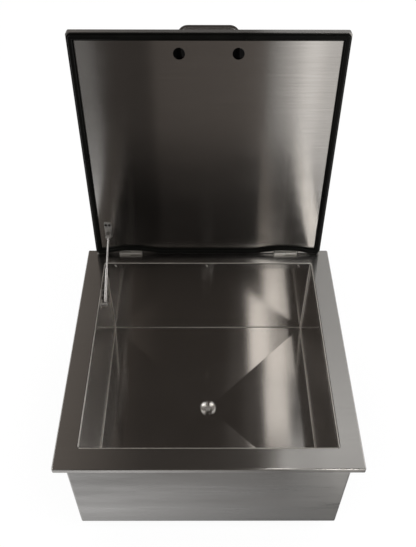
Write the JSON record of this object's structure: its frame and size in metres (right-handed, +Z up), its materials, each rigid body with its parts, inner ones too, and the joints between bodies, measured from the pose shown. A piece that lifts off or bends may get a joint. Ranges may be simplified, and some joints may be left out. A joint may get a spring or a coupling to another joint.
{
  "type": "drop-in ice bin",
  "caption": "Square stainless drop-in ice bin with a folded rim, a creased floor falling to a centre drain, and a hinged, gasketed, insulated lid held open by a sliding stay.",
  "frame": {"origin": "centre of the rim in plan, on the counter plane that the rim's folded-under lip rests on", "axes": "+Z up out of the counter, -Y the front (the handle side of the closed lid), +X to the right of someone who faces the front; the lid stands open at rest"},
  "size_m": [0.508, 0.5791, 0.7419],
  "materials": {
    "brushed_stainless": "satin",
    "polished_stainless": "polished",
    "plain_steel": "satin",
    "black_rubber": "matte",
    "black_plastic": "gloss",
    "foam": "matte"
  },
  "bodies": {
    "bin": {"rim_flange": "brushed_stainless", "inner_liner": "brushed_stainless", "outer_shell": "brushed_stainless", "base_pan": "brushed_stainless", "wall_insulation": "foam", "drain_fitting": "polished_stainless", "drain_seal_washer": "black_rubber", "drain_strainer": "polished_stainless", "drain_base_washer": "plain_steel", "drain_locknut": "polished_stainless", "hinge_base_leaf_left": "polished_stainless", "hinge_base_leaf_right": "polished_stainless", "hinge_pin_left": "polished_stainless", "hinge_pin_right": "polished_stainless", "hinge_base_screws": "plain_steel", "hinge_base_plates": "plain_steel", "stay_wall_bracket": "polished_stainless", "stay_wall_screws": "plain_steel", "stay_wall_pin": "polished_stainless"},
    "lid": {"lid_outer_pan": "brushed_stainless", "lid_inner_panel": "brushed_stainless", "lid_foam_core": "foam", "lid_gasket": "black_rubber", "hole_plug_left": "black_plastic", "hole_plug_right": "black_plastic", "lid_handle": "polished_stainless", "handle_screws": "plain_steel", "handle_washers": "plain_steel", "hinge_lid_leaf_left": "polished_stainless", "hinge_lid_leaf_right": "polished_stainless", "hinge_lid_screws": "plain_steel", "hinge_lid_plates": "plain_steel", "stay_lid_bracket": "polished_stainless", "stay_lid_screws": "plain_steel"},
    "stay_tube_assembly": {"stay_tube": "polished_stainless", "stay_tube_eye": "polished_stainless"},
    "stay_rod_assembly": {"stay_rod": "polished_stainless", "stay_rod_eye": "polished_stainless", "stay_rod_pin": "polished_stainless"}
  },
  "joints": [
    {"name": "lid_hinge", "type": "hinge", "parent": "bin", "child": "lid", "pos_m": [0, 0.2405, 0.0137], "axis": [1, 0, 0], "range_deg": [0, 93.9]},
    {"name": "stay_foot_pivot", "type": "hinge", "parent": "bin", "child": "stay_tube_assembly", "pos_m": [-0.205, 0.109, 0.0004], "axis": [1, 0, 0], "range_deg": [-22.3, 0]},
    {"name": "stay_slide", "type": "slide", "parent": "stay_tube_assembly", "child": "stay_rod_assembly", "axis": [0, 0.8949, 0.4462], "range_m": [-0.0611, 0]}
  ],
  "couplings": [
    {"joint": "stay_foot_pivot", "follows": "lid_hinge", "ratio": -0.23662},
    {"joint": "stay_slide", "follows": "lid_hinge", "m_per_rad": -0.03721}
  ]
}
